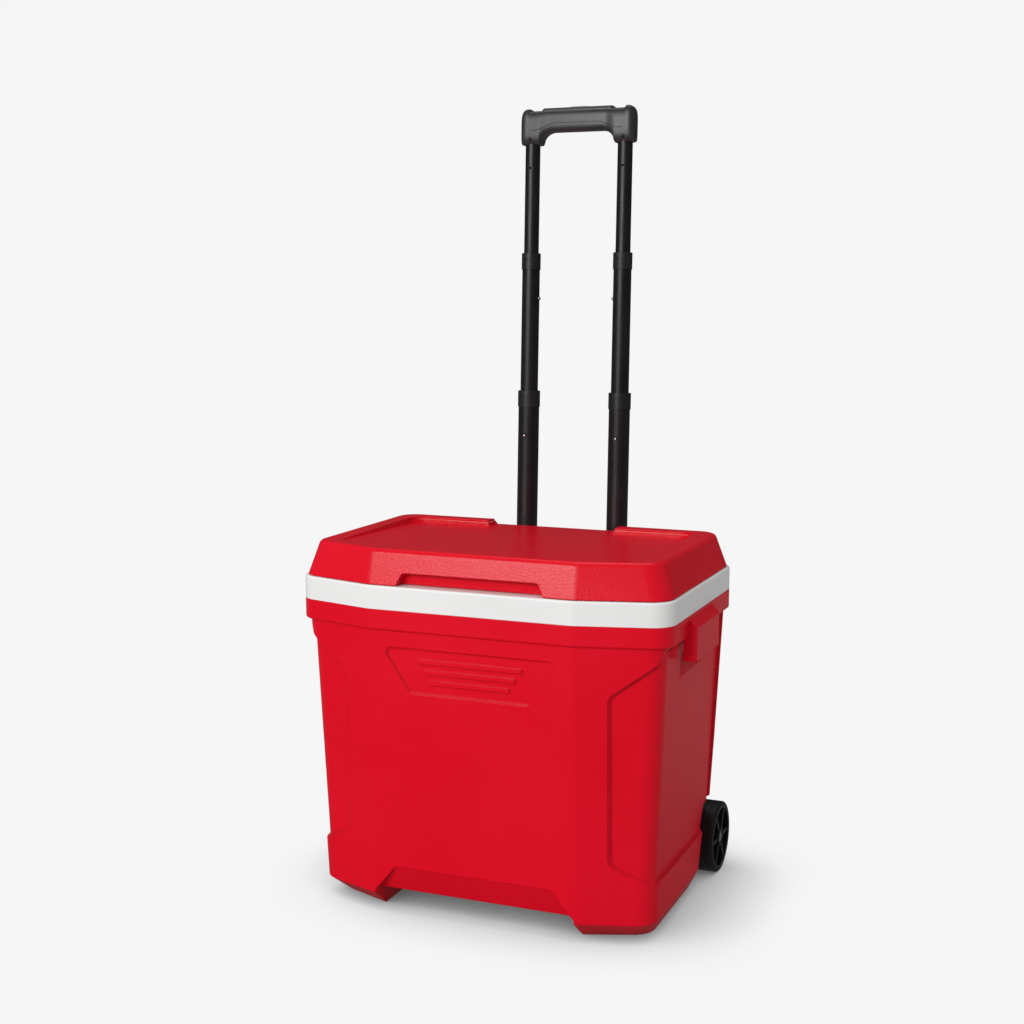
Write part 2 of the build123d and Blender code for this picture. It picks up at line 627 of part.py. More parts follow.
def bracket(z0, z1, on_band):
    """Bridge across both tubes with feet on the rear wall."""
    y0, y1 = (BAND_REAR, BAND_REAR) if on_band else (wall_rear(z0), wall_rear(z1))
    t0, t1 = tube_centre_y(z0), tube_centre_y(z1)
    body = prism_x([(y0, z0), (t0 + 5, z0), (t1 + 5, z1), (y1, z1)], -TUBE_X - 26, TUBE_X + 26)
    for side in (-1, 1):
        body += along(side) * Pos(0, 0, (z0 + z1) / 2 - TUBE_Z) * Cylinder(HOUSING_R + 4, z1 - z0 - 2)
    keep = block(-200, 200, -10, 400, z0 + 0.5, z1 - 0.5)
    body = body & keep
    # lighten the bridge from behind, leaving ribs
    for x in (-24.0, 0.0, 24.0):
        body -= block(x - 10.5, x + 10.5, max(y0, y1) + 4, 400, z0 + 4.5, z1 - 4.5)
    for side in (-1, 1):
        body -= rod_s(side, HOUSING_R, z0 - TUBE_Z - 30, z1 - TUBE_Z + 30)
    return body


UPPER_BRACKET = (388.5, 412.0)
LOWER_BRACKET = (84.0, 112.0)
upper_bracket = bracket(*UPPER_BRACKET, True)
lower_bracket = bracket(*LOWER_BRACKET, False)
bracket_screws = []
upper_bracket_holes = []
lower_bracket_holes = []
for x in (-40.0, 40.0):
    z = sum(UPPER_BRACKET) / 2
    spot = Pos(x, BAND_REAR + 4.0, z) * Rot(-90, 0, 0)
    bracket_screws.append(spot * screw(3.4, 2.0, SCREW_R, 12.0))
    recess = spot * (Pos(0, 0, 30) * Cylinder(4.4, 60))
    upper_bracket -= recess
    hole = spot * Pos(0, 0, -5.5) * Rot(0, 0, 31) * Cylinder(SCREW_R + HOLE_PLAY, 13.0)
    upper_bracket_holes.append(hole)
    z = sum(LOWER_BRACKET) / 2
    spot = Pos(x, wall_rear(z) + 4.0, z) * Rot(-90, 0, 0)
    bracket_screws.append(spot * screw(3.4, 2.0, SCREW_R, 12.0))
    lower_bracket -= spot * (Pos(0, 0, 30) * Cylinder(4.4, 60))
    hole = spot * Pos(0, 0, -5.5) * Rot(0, 0, 31) * Cylinder(SCREW_R + HOLE_PLAY, 13.0)
    lower_bracket_holes.append(hole)

# grip: two clamped halves, button, spring and release gear, in the tube frame
GRIP_SCREW_Y = 9.6


def grip_frame():
    return Pos(0, TUBE_Y, TUBE_Z) * Rot(-LEAN_DEG, 0, 0)


def grip_solid(inset):
    """Arch-shaped grip: two sockets joined by a rounded bar."""
    s0, s1 = GRIP_Z
    half = GRIP_HALF - inset
    arch = [
        (-half, s0 + inset),
        (-half, s1 - 12),
        (-half + 12, s1 - inset),
        (half - 12, s1 - inset),
        (half, s1 - 12),
        (half, s0 + inset),
        (50.0 + inset, s0 + inset),
        (42.0 + inset * 0.6, s0 + 14 + inset),
        (24.0, s0 + 23.0 + inset),
        (-24.0, s0 + 23.0 + inset),
        (-42.0 - inset * 0.6, s0 + 14 + inset),
        (-50.0 - inset, s0 + inset),
    ]
    depth = GRIP_DEPTH / 2 - inset
    face = Plane((0, -depth, 0), x_dir=(1, 0, 0), z_dir=(0, -1, 0)) * make_face(Polyline(*arch, close=True))
    body = extrude(face, -2 * depth)
    long_edges = [e for e in body.edges().filter_by(Axis.Y) if e.center().Z > s0 + 10]
    body = fillet(long_edges, 7)
    top = [e for e in body.edges() if e.center().Z > s1 - 3 and abs(abs(e.center().Y) - depth) < 0.1]
    return fillet(top, max(9.0 - inset, 3.0)) if inset == 0 else body


grip = grip_solid(0.0)
hollow = grip_solid(3.0)
split_s = GRIP_Z[0] + 33.0
below = Pos(0, 0, split_s - 100) * Box(400, 100, 200)
grip_walls = grip - hollow
bosses = None
for side in (-1, 1):
    boss = Pos(side * TUBE_X, 0, GRIP_Z[0] + 13.5) * Cylinder(UPPER_R + 3.4, 27)
    bosses = boss if bosses is None else bosses + boss
    screw_boss = Pos(side * 34, GRIP_SCREW_Y, split_s - 1) * Cylinder(4.4, 24)
    bosses += screw_boss
grip_body = grip_walls + (bosses & grip)
button_hole = Pos(0, 0, GRIP_Z[1]) * extrude(Ellipse(14.4, 7.4), 30, both=True)
button_clear = Pos(0, 0, GRIP_Z[1] - 14) * Box(34, 16, 16)
grip_lower = grip_body & below
grip_upper = grip_body - below - button_hole
for side in (-1, 1):
    socket = Pos(side * TUBE_X, 0, 300) * Cylinder(UPPER_R, 2 * (UPPER[1] - 300))
    grip_lower -= socket
    grip_upper -= socket
    pilot = Pos(side * 34, GRIP_SCREW_Y, split_s - 1) * Cylinder(1.6, 22)
    grip_lower -= pilot
    grip_lower -= Pos(side * 34, GRIP_SCREW_Y, split_s - 19) * Cylinder(3.4, 20)
    grip_upper -= pilot
    grip_lower -= Pos(side * TUBE_X, -GRIP_DEPTH / 2, GRIP_Z[0] + 8.0) * Rot(90, 0, 0) * Cylinder(2.2, 12)

grip_lower = grip_frame() * max(grip_lower.solids(), key=lambda b: b.volume)
grip_upper = grip_frame() * max(grip_upper.solids(), key=lambda b: b.volume)

grip_screws = []
for side in (-1, 1):
    spot = grip_frame() * Pos(side * 34, GRIP_SCREW_Y, split_s - 9) * Rot(180, 0, 0)
    grip_screws.append(spot * screw(3.0, 1.8, 1.55, 14.0))
side_screws = []
for side in (-1, 1):
    spot = grip_frame() * Pos(side * TUBE_X, -GRIP_DEPTH / 2 + 2.4, GRIP_Z[0] + 8.0) * Rot(90, 0, 0)
    side_screws.append(spot * screw(2.1, 1.2, 1.2, 3.6))

BUTTON_TRAVEL = 4.0
cap = extrude(Ellipse(14.0, 7.0), 7.5)
cap = fillet(cap.edges().sort_by(Axis.Z)[-1], 2.2)
button = Pos(0, 0, GRIP_Z[1] - 5.5) * cap
button += Pos(0, 0, GRIP_Z[1] - 7.0) * extrude(Ellipse(16.5, 9.0), 1.9)
for x in (-12.0, 12.0):
    button += Pos(x, 0, (GRIP_Z[1] - 7.0 + UPPER[1] + 7.8) / 2) * Box(3, 5, GRIP_Z[1] - 14.8 - UPPER[1])
push_button = grip_frame() * button
spring_top = GRIP_Z[1] - 7.0
spring_low = split_s - 6.0
spring_path = Helix(pitch=2.6, height=spring_top - spring_low - 1.0, radius=4.0)
spring_wire = sweep(Plane(origin=spring_path @ 0, z_dir=spring_path % 0) * Circle(0.45), path=spring_path)
button_spring = grip_frame() * Pos(0, 0, spring_low + 0.5) * spring_wire
spring_seat = Pos(0, 0, (GRIP_Z[0] + 26.0 + spring_low) / 2) * Box(14, 14, spring_low - GRIP_Z[0] - 26.0)
spring_post = Pos(0, 0, spring_low + 1.5) * Cylinder(2.6, 3)
spring_base = grip_frame() * (spring_seat + spring_post)

# release rods inside the upper tubes, pushed down by the button's cross bar
rod_top = UPPER[1] + 4.8
release = Pos(0, 0, rod_top + 1.5) * (Box(2 * TUBE_X + 8, 5.0, 3.0) - Cylinder(5.6, 6))
release += Pos(0, 0, rod_top + 1.5) * (Cylinder(8.2, 3.0) - Cylinder(5.6, 6))
release -= Pos(0, 0, rod_top + 1.5) * Cylinder(5.6, 6)
for side in (-1, 1):
    release += Pos(side * TUBE_X, 0, (rod_top + UPPER[0] + 26) / 2) * Cylinder(2.4, rod_top - UPPER[0] - 26)
release_bar = grip_frame() * release

# ---------------------------------------------------------------- wheels and axle
def spoked_hub():
    """Wheel hub about the X axis at the origin, outer face at +X = WHEEL_W / 2."""
    half = WHEEL_W / 2
    rim = Cylinder(WHEEL_R - 5.0, WHEEL_W) - Cylinder(WHEEL_R - 8.5, WHEEL_W + 2)
    web = Pos(0, 0, 2.0) * Cylinder(WHEEL_R - 8.4, 4.0)
    boss = Pos(0, 0, 0) * Cylinder(11.0, WHEEL_W)
    hub = rim + web + boss
    for k in range(6):
        spoke = Pos((WHEEL_R + 2) / 2, 0, half - 8) * Box(WHEEL_R - 18, 5.0, 14.0)
        hub += Rot(0, 0, 60 * k + 30) * spoke
        rib = Pos((WHEEL_R + 2) / 2, 0, -half + 9) * Box(WHEEL_R - 18, 3.0, 16.0)
        hub += Rot(0, 0, 60 * k + 30) * rib
    hub -= Cylinder(AXLE_R + 0.06, WHEEL_W + 2)
    hub -= Pos(0, 0, half) * Cylinder(8.2, 5.0)
    return hub


def tyre():
    ring = Cylinder(WHEEL_R, WHEEL_W) - Cylinder(WHEEL_R - 4.95, WHEEL_W + 2)
    outer_edges = [e for e in ring.edges().filter_by(GeomType.CIRCLE) if abs(e.radius - WHEEL_R) < 0.01]
    ring = fillet(outer_edges, 3.0)
    for k in range(3):
        ring -= Pos(0, 0, -8 + 8 * k) * (Cylinder(WHEEL_R + 1, 1.2) - Cylinder(WHEEL_R - 0.8, 3))
    return ring


def at_wheel(side):
    return Pos(side * (WHEEL_OUT - WHEEL_W / 2), WHEEL_Y, WHEEL_R) * Rot(0, 90 * side, 0)


wheels = {}
for side, name in ((-1, "left"), (1, "right")):
    wheels["wheel_hub_" + name] = at_wheel(side) * spoked_hub()
    wheels["tyre_" + name] = at_wheel(side) * tyre()
axle = rod_x(AXLE_R, -WHEEL_OUT + 0.2, WHEEL_OUT - 0.2, WHEEL_Y, WHEEL_R)
axle = fillet(axle.edges().filter_by(GeomType.CIRCLE), 0.8)
caps = []
washers = []
for side in (-1, 1):
    x0, x1 = WHEEL_OUT - 2.4, WHEEL_OUT - 0.9
    caps.append(rod_x(7.6, min(side * x0, side * x1), max(side * x0, side * x1), WHEEL_Y, WHEEL_R)
                - rod_x(AXLE_R, -260, 260, WHEEL_Y, WHEEL_R))
    x0, x1 = WHEEL_OUT - WHEEL_W - 1.8, WHEEL_OUT - WHEEL_W - 0.2
    washers.append(rod_x(9.0, min(side * x0, side * x1), max(side * x0, side * x1), WHEEL_Y, WHEEL_R)
                   - rod_x(AXLE_R, -260, 260, WHEEL_Y, WHEEL_R))


def axle_bracket(side):
    """Block screwed to the rear wall that carries the axle beside a wheel."""
    x0, x1 = side * 148.0, side * 186.0
    low, high = 30.0, 76.0
    outline = [
        (wall_rear(low), low),
        (WHEEL_Y - 2, low),
        (WHEEL_Y + 9.5, low + 7),
        (WHEEL_Y + 9.5, WHEEL_R + 8),
        (WHEEL_Y + 2, high - 6),
        (wall_rear(high) + 5, high),
        (wall_rear(high), high),
    ]
    body = prism_x(outline, min(x0, x1), max(x0, x1))
    body -= rod_x(AXLE_R, -260, 260, WHEEL_Y, WHEEL_R)
    # screw pockets
    for dx in (9.0, 29.0):
        x = x0 + side * dx
        body -= rod_y(4.6, wall_rear(66.0) + 4.0, 200, x, 66.0)
    return body


axle_brackets = {"left": axle_bracket(-1), "right": axle_bracket(1)}
axle_screws = []
axle_holes = []
for side in (-1, 1):
    for dx in (9.0, 29.0):
        spot = Pos(side * (148.0 + dx), wall_rear(66.0) + 4.0, 66.0) * Rot(-90, 0, 0)
        axle_screws.append(spot * screw(3.4, 2.0, SCREW_R, 12.0))
        hole = spot * Pos(0, 0, -5.5) * Rot(0, 0, 31) * Cylinder(SCREW_R + HOLE_PLAY, 13.0)
        axle_holes.append(hole)
for name in axle_brackets:
    axle_brackets[name] = drilled(axle_brackets[name], axle_holes)

# ---------------------------------------------------------------- holes for the screws, then the files
liner = drilled(liner, body_screw_holes + upper_bracket_holes)
insulation = drilled(insulation, body_screw_holes + upper_bracket_holes + lower_bracket_holes + axle_holes)
shell = drilled(shell, lower_bracket_holes + axle_holes)
upper_bracket = drilled(upper_bracket, upper_bracket_holes)
lower_bracket = drilled(lower_bracket, lower_bracket_holes)
lid_shell = drilled(lid_shell, lid_screw_holes)
lid_foam = drilled(lid_foam, lid_screw_holes)
for name in hinge_nodes:
    body_leaf, lid_leaf, pin = hinge_nodes[name]
    hinge_nodes[name] = (drilled(body_leaf, body_screw_holes), drilled(lid_leaf, lid_screw_holes), pin)

save(shell, "body_shell")
save(insulation, "body_insulation")
save(liner, "liner")
save(lid_shell, "lid_shell")
save(lid_liner, "lid_liner")
save(lid_foam, "lid_insulation")
save(gasket, "lid_gasket")
for name in hinge_nodes:
    body_leaf, lid_leaf, pin = hinge_nodes[name]
    save(body_leaf, "hinge_body_leaf_" + name)
    save(lid_leaf, "hinge_lid_leaf_" + name)
    save(pin, "hinge_pin_" + name)
save(Compound(children=body_screws), "hinge_body_screws")
save(Compound(children=lid_screws), "hinge_lid_screws")
for name in stages:
    save(stages[name], name)
for name in collars:
    save(collars[name], name)
save(Compound(children=lower_tabs), "lower_latch_tabs")
save(Compound(children=upper_tabs), "upper_latch_tabs")
save(Compound(children=lower_plugs), "lower_guide_plugs")
save(Compound(children=middle_plugs), "middle_guide_plugs")
save(Compound(children=upper_plugs), "upper_guide_plugs")
save(Compound(children=lower_locks), "lower_lock_catches")
save(Compound(children=middle_locks), "upper_lock_catches")
save(upper_bracket, "handle_bracket_upper")
save(lower_bracket, "handle_bracket_lower")
save(Compound(children=bracket_screws), "handle_bracket_screws")
save(grip_lower, "grip_lower")
save(grip_upper, "grip_upper")
save(Compound(children=grip_screws), "grip_screws")
save(Compound(children=side_screws), "grip_tube_screws")
save(push_button, "push_button")
save(button_spring, "button_spring")
save(spring_base, "spring_seat")
save(release_bar, "release_bar")
save(axle, "axle")
for name in wheels:
    save(wheels[name], name)
save(Compound(children=caps), "axle_caps")
save(Compound(children=washers), "axle_washers")
for name in axle_brackets:
    save(axle_brackets[name], "axle_bracket_" + name)
save(Compound(children=axle_screws), "axle_bracket_screws")
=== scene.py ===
# %% [markdown]
# # A hard cooler on wheels
# The cooler's frame, with every hinge, tube and screw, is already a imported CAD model.
# Here it is loaded as a fixed frame, and each surface gets its finish. Shapes that need
# soft, flowing curves, such as the grip, are worked out as surfaces of two parameters.

import json
import math

import bmesh
import bpy
import numpy as np
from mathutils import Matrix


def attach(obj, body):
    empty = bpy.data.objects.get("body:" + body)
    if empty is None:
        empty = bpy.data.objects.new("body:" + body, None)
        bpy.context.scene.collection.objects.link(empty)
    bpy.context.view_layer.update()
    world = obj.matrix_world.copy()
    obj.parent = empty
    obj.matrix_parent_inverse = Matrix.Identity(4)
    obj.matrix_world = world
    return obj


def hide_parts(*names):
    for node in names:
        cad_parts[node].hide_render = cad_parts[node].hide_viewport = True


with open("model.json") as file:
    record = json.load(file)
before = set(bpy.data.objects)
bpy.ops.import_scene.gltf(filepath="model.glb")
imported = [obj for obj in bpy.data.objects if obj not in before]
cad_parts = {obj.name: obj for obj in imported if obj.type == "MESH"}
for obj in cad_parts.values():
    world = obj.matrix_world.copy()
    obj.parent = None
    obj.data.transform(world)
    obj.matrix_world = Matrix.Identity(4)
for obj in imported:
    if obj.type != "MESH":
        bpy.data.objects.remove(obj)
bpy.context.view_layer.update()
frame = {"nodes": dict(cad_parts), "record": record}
nodes = frame["nodes"]

# %% [markdown]
# ## Camera
# A product picture of a box this size is taken from a couple of metres away with a short
# telephoto lens, a little above the lid, so the verticals stay almost parallel.

# %% camera
CAMERA_AT = (0.73034, -1.83207, 0.76496)
CAMERA_TURN = 22.361
CAMERA_DOWN = 8.106
LENS_MM = 54.83

camera_data = bpy.data.cameras.new("product camera")
camera_data.lens = LENS_MM
camera_data.sensor_width = 36.0
camera_data.clip_end = 60.0
camera = bpy.data.objects.new("product camera", camera_data)
camera.location = CAMERA_AT
camera.rotation_euler = (math.radians(90 - CAMERA_DOWN), 0.0, math.radians(CAMERA_TURN))
bpy.context.scene.collection.objects.link(camera)
bpy.context.scene.camera = camera
bpy.context.scene.view_settings.view_transform = "Standard"
print("camera lens", LENS_MM, "mm")

# %% [markdown]
# ## Floor and light
# A pale sweep has no horizon. It could be a plane and a wall, but a line would show where they
# meet, so one surface runs flat, bends up in a quarter circle and ends as the wall. One wide
# soft light hangs high on the left front and a weaker one above the lid: the front stays
# bright, and the side falls darker.


# %% floor
def sweep_surface(width, depth, rise, rows=48):
    """Studio sweep: flat floor, then a quarter circle of radius rise/2, then a straight wall."""
    radius = rise / 2
    t = np.linspace(0.0, 1.0, rows)
    y = np.where(t < 0.5, -depth + t / 0.5 * 2 * depth, depth + radius * np.sin((t - 0.5) * np.pi))
    z = np.where(t < 0.5, 0.0, radius * (1 - np.cos((t - 0.5) * np.pi)))
    y = np.append(y, depth + radius)
    z = np.append(z, rise)
    x = np.array([-width, width])
    gx, gy = np.meshgrid(x, y)
    gz = np.repeat(z[:, None], 2, axis=1)
    return np.stack([gx, gy, gz], axis=-1)


def grid_faces(rows, cols, wrap_cols=False, wrap_rows=False):
    """Quads of a rows x cols grid of vertices, optionally closed in either direction."""
    r = np.arange(rows if wrap_rows else rows - 1)
    c = np.arange(cols if wrap_cols else cols - 1)
    rr, cc = np.meshgrid(r, c, indexing="ij")
    r2, c2 = (rr + 1) % rows, (cc + 1) % cols
    quads = np.stack([rr * cols + cc, rr * cols + c2, r2 * cols + c2, r2 * cols + cc], axis=-1)
    return quads.reshape(-1, 4)


def mesh_object(name, points, faces, smooth=True):
    """Put arrays of points and faces into a new mesh object at the origin."""
    mesh = bpy.data.meshes.new(name)
    corners = np.asarray(points, float).reshape(-1, 3).tolist()
    mesh.from_pydata(corners, [], [list(map(int, f)) for f in faces])
    mesh.update()
    mesh.polygons.foreach_set("use_smooth", np.full(len(mesh.polygons), smooth))
    made = bpy.data.objects.new(name, mesh)
    bpy.context.scene.collection.objects.link(made)
    return made


SWEEP_HALF_WIDTH, SWEEP_HALF_DEPTH, SWEEP_RISE = 9.0, 5.0, 7.0

sweep = sweep_surface(SWEEP_HALF_WIDTH, SWEEP_HALF_DEPTH, SWEEP_RISE)
floor = mesh_object("studio_sweep", sweep, grid_faces(*sweep.shape[:2]))
print("sweep of", len(floor.data.vertices), "points")


# %% lights
def soft_light(name, at, look_at, size, power):
    """White rectangular area light at a point, turned to face another point."""
    data = bpy.data.lights.new(name, "AREA")
    data.shape = "RECTANGLE"
    data.size, data.size_y = size
    data.energy = power
    lamp = bpy.data.objects.new(name, data)
    lamp.location = at
    aim = np.array(look_at) - np.array(at)
    lamp.rotation_euler = (
        math.atan2(math.hypot(aim[0], aim[1]), -aim[2]),
        0.0,
        math.atan2(aim[1], aim[0]) - math.pi / 2,
    )
    bpy.context.scene.collection.objects.link(lamp)
    return lamp


key = soft_light("key front left", (-0.80, -3.25, 1.66), (0.0, 0.0, 0.35), (2.0, 0.85), 67.0)
top = soft_light("top", (-0.2, 0.5, 3.2), (0.0, 0.0, 0.4), (1.6, 1.6), 15.0)
print("key light", round(key.data.energy, 1), "W, top light", round(top.data.energy, 1), "W")

# %% [markdown]
# ## Even background
# Lit by the lamps, the sweep would show a bright patch and fall off to grey. Light linking
# keeps both lamps off it, and the sky gives its even tone instead. The sky has its own
# strength for the eye, for reflections and for light, so that the deep colours of the
# plastic aren't washed out by a white reflection.


# %% keep the lamps off the sweep
def leave_dark(lamp, stage):
    """Light linking: the lamp reaches everything except the stage, which the even sky lights."""
    group = bpy.data.collections.new("not lit by " + lamp.name)
    group.objects.link(stage)
    group.collection_objects[0].light_linking.link_state = "EXCLUDE"
    lamp.light_linking.receiver_collection = group


for lamp in (key, top):
    leave_dark(lamp, floor)
print("the sweep is lit by the sky alone")


# %% even sky
SKY_SEEN, SKY_LIGHT, SKY_GLOSS = 0.92, 0.60, 0.08


def pick(tree, seen, gloss, light):
    """Value by kind of ray: seen for camera rays, gloss for glossy rays, light for the rest."""
    rays = tree.nodes.new("ShaderNodeLightPath")
    for_gloss = tree.nodes.new("ShaderNodeMix")
    for_gloss.inputs["A"].default_value = light
    for_gloss.inputs["B"].default_value = gloss
    for_camera = tree.nodes.new("ShaderNodeMix")
    for_camera.inputs["B"].default_value = seen
    tree.links.new(rays.outputs["Is Glossy Ray"], for_gloss.inputs["Factor"])
    tree.links.new(rays.outputs["Is Camera Ray"], for_camera.inputs["Factor"])
    tree.links.new(for_gloss.outputs["Result"], for_camera.inputs["A"])
    return for_camera.outputs["Result"]


world = bpy.data.worlds.new("studio")
world.use_nodes = True
sky_tree = world.node_tree
sky = sky_tree.nodes["Background"]
sky.inputs["Color"].default_value = (1.0, 1.0, 1.0, 1.0)
sky_tree.links.new(pick(sky_tree, SKY_SEEN, SKY_GLOSS, SKY_LIGHT), sky.inputs["Strength"])
bpy.context.scene.world = world
print("sky light", SKY_LIGHT)

# %% [markdown]
# ## Shared finish effects
# Moulded plastic takes the fine spark-eroded texture of its tool, and no large wall is
# perfectly even. Both effects are built once as node groups and used with their own values.


# %% node groups
def new_group(name, inputs, outputs):
    """Empty shader node group with named sockets: (name, type, default) triples."""
    group = bpy.data.node_groups.new(name, "ShaderNodeTree")
    for label, kind, default in inputs:
        socket = group.interface.new_socket(label, in_out="INPUT", socket_type=kind)
        if default is not None:
            socket.default_value = default
    for label, kind in outputs:
        group.interface.new_socket(label, in_out="OUTPUT", socket_type=kind)
    entry = group.nodes.new("NodeGroupInput")
    leave = group.nodes.new("NodeGroupOutput")
    return group, entry, leave


def tool_texture_group():
    """Height of a spark-eroded mould: fine cells plus finer noise, both centred on one half."""
    group, entry, leave = new_group(
        "tool texture",
        [
            ("Place", "NodeSocketVector", None),
            ("Cells per metre", "NodeSocketFloat", 900.0),
            ("Fine share", "NodeSocketFloat", 0.4),
        ],
        [("Height", "NodeSocketFloat"), ("Pits", "NodeSocketFloat")],
    )
    cells = group.nodes.new("ShaderNodeTexVoronoi")
    cells.feature = "SMOOTH_F1"
    cells.inputs["Smoothness"].default_value = 0.7
    grain = group.nodes.new("ShaderNodeTexNoise")
    grain.inputs["Detail"].default_value = 3.0
    blend = group.nodes.new("ShaderNodeMix")
    double = group.nodes.new("ShaderNodeMath")
    double.operation = "MULTIPLY"
    double.inputs[1].default_value = 1.9
    link = group.links.new
    link(entry.outputs["Place"], cells.inputs["Vector"])
    link(entry.outputs["Place"], grain.inputs["Vector"])
    link(entry.outputs["Cells per metre"], cells.inputs["Scale"])
    link(entry.outputs["Cells per metre"], double.inputs[0])
    link(double.outputs[0], grain.inputs["Scale"])
    link(entry.outputs["Fine share"], blend.inputs["Factor"])
    link(cells.outputs["Distance"], blend.inputs["A"])
    link(grain.outputs["Fac"], blend.inputs["B"])
    link(blend.outputs["Result"], leave.inputs["Height"])
    link(cells.outputs["Distance"], leave.inputs["Pits"])
    return group


def cloudy_group():
    """Slow change between two values over the surface: wide soft noise pushed through a ramp."""
    group, entry, leave = new_group(
        "cloudy mask",
        [("Place", "NodeSocketVector", None), ("Clouds per metre", "NodeSocketFloat", 6.0)],
        [("Mask", "NodeSocketFloat")],
    )
    clouds = group.nodes.new("ShaderNodeTexNoise")
    clouds.inputs["Detail"].default_value = 4.0
    clouds.inputs["Roughness"].default_value = 0.55
    ramp = group.nodes.new("ShaderNodeValToRGB")
    ramp.color_ramp.elements[0].position = 0.32
    ramp.color_ramp.elements[1].position = 0.68
    link = group.links.new
    link(entry.outputs["Place"], clouds.inputs["Vector"])
    link(entry.outputs["Clouds per metre"], clouds.inputs["Scale"])
    link(clouds.outputs["Fac"], ramp.inputs["Fac"])
    link(ramp.outputs["Color"], leave.inputs["Mask"])
    return group


TOOL_TEXTURE = tool_texture_group()
CLOUDY = cloudy_group()
print("groups:", TOOL_TEXTURE.name, "and", CLOUDY.name)

# %% [markdown]
# ## Finishes
# One function lays out a moulded or painted finish: two close colours mixed by the cloudy
# mask, a roughness that wanders between two values, the tool texture as bump, and a softened
# edge of about a millimetre, as every moulded edge has.


# %% moulded and painted finishes
GRIT = 0.0005


def finish(name, colours, rough, cells, bump, edge, clouds=6.0, metal=0.0, specular=0.5):
    """Principled finish: colour and roughness follow the cloudy mask, height the tool texture."""
    material = bpy.data.materials.new(name)
    material.use_nodes = True
    tree = material.node_tree
    shader = tree.nodes["Principled BSDF"]
    place = tree.nodes.new("ShaderNodeTexCoord").outputs["Object"]
    mask = tree.nodes.new("ShaderNodeGroup")
    mask.node_tree = CLOUDY
    mask.inputs["Clouds per metre"].default_value = clouds
    texture = tree.nodes.new("ShaderNodeGroup")
    texture.node_tree = TOOL_TEXTURE
    texture.inputs["Cells per metre"].default_value = cells
    tint = tree.nodes.new("ShaderNodeMix")
    tint.data_type = "RGBA"
    tint.inputs["A"].default_value = (*colours[0], 1.0)
    tint.inputs["B"].default_value = (*colours[1], 1.0)
    gloss = tree.nodes.new("ShaderNodeMapRange")
    gloss.inputs["To Min"].default_value = rough[0]
    gloss.inputs["To Max"].default_value = rough[1]
    relief = tree.nodes.new("ShaderNodeBump")
    relief.inputs["Strength"].default_value = bump
    relief.inputs["Distance"].default_value = GRIT
    link = tree.links.new
    link(place, mask.inputs["Place"])
    link(place, texture.inputs["Place"])
    link(mask.outputs["Mask"], tint.inputs["Factor"])
    link(mask.outputs["Mask"], gloss.inputs["Value"])
    link(tint.outputs["Result"], shader.inputs["Base Color"])
    link(gloss.outputs["Result"], shader.inputs["Roughness"])
    link(texture.outputs["Height"], relief.inputs["Height"])
    if edge > 0:
        soft = tree.nodes.new("ShaderNodeBevel")
        soft.samples = 6
        soft.inputs["Radius"].default_value = edge
        link(soft.outputs["Normal"], relief.inputs["Normal"])
    link(relief.outputs["Normal"], shader.inputs["Normal"])
    shader.inputs["Metallic"].default_value = metal
    shader.inputs["Specular IOR Level"].default_value = specular
    return material


RED = ((0.70, 0.0, 0.012), (0.735, 0.0004, 0.016))
ZINC = ((0.55, 0.55, 0.56), (0.72, 0.72, 0.72))
DARK_ZINC = ((0.20, 0.20, 0.21), (0.30, 0.30, 0.31))

finishes = {
    "red_shell": finish("red moulded shell", RED, (0.29, 0.34), 520.0, 0.40, 0.0018, specular=0.22),
    "red_lid": finish("red moulded lid", RED, (0.27, 0.32), 520.0, 0.40, 0.0015, specular=0.27),
    "white_liner": finish("white liner", ((0.80, 0.80, 0.79), (0.84, 0.84, 0.83)), (0.36, 0.44),
                          800.0, 0.08, 0.001),
    "foam": finish("closed cell foam", ((0.80, 0.72, 0.50), (0.88, 0.82, 0.62)), (0.85, 0.95),
                   260.0, 0.6, 0.0),
    "gasket": finish("grey seal", ((0.32, 0.32, 0.33), (0.38, 0.38, 0.38)), (0.6, 0.7),
                     900.0, 0.1, 0.0004),
    "black_plastic": finish("black moulded fittings", ((0.010, 0.010, 0.011), (0.016, 0.016, 0.018)),
                            (0.36, 0.46), 900.0, 0.12, 0.0005),
    "black_tube": finish("black coated tube", ((0.007, 0.0065, 0.007), (0.011, 0.010, 0.011)),
                         (0.36, 0.44), 1400.0, 0.06, 0.0, clouds=30.0, specular=0.45),
    "grip_black": finish("black grip", ((0.024, 0.023, 0.025), (0.036, 0.034, 0.037)), (0.36, 0.46),
                         1100.0, 0.16, 0.0008, specular=0.6),
    "grey_button": finish("grey button", ((0.36, 0.37, 0.38), (0.42, 0.43, 0.44)), (0.28, 0.36),
                          900.0, 0.05, 0.0005),
    "steel": finish("bright zinc plate", ZINC, (0.22, 0.38), 500.0, 0.06, 0.0003, 90.0, 1.0),
    "screw_steel": finish("dark zinc plate", DARK_ZINC, (0.28, 0.42), 500.0, 0.06, 0.0002, 120.0, 1.0),
    "cap_zinc": finish("zinc cap", ZINC, (0.22, 0.36), 500.0, 0.06, 0.0003, 90.0, 1.0),
    "wheel_black": finish("black wheel", ((0.007, 0.007, 0.008), (0.012, 0.012, 0.013)), (0.38, 0.48),
                          900.0, 0.12, 0.0006),
    "tyre_black": finish("black tread", ((0.006, 0.006, 0.006), (0.012, 0.012, 0.012)), (0.50, 0.64),
                         700.0, 0.2, 0.0005),
}
slot_of = {part["node"]: part["material_slot"] for part in frame["record"]["subparts"]}
for name, node in nodes.items():
    node.data.materials.clear()
    node.data.materials.append(finishes[slot_of[name]])
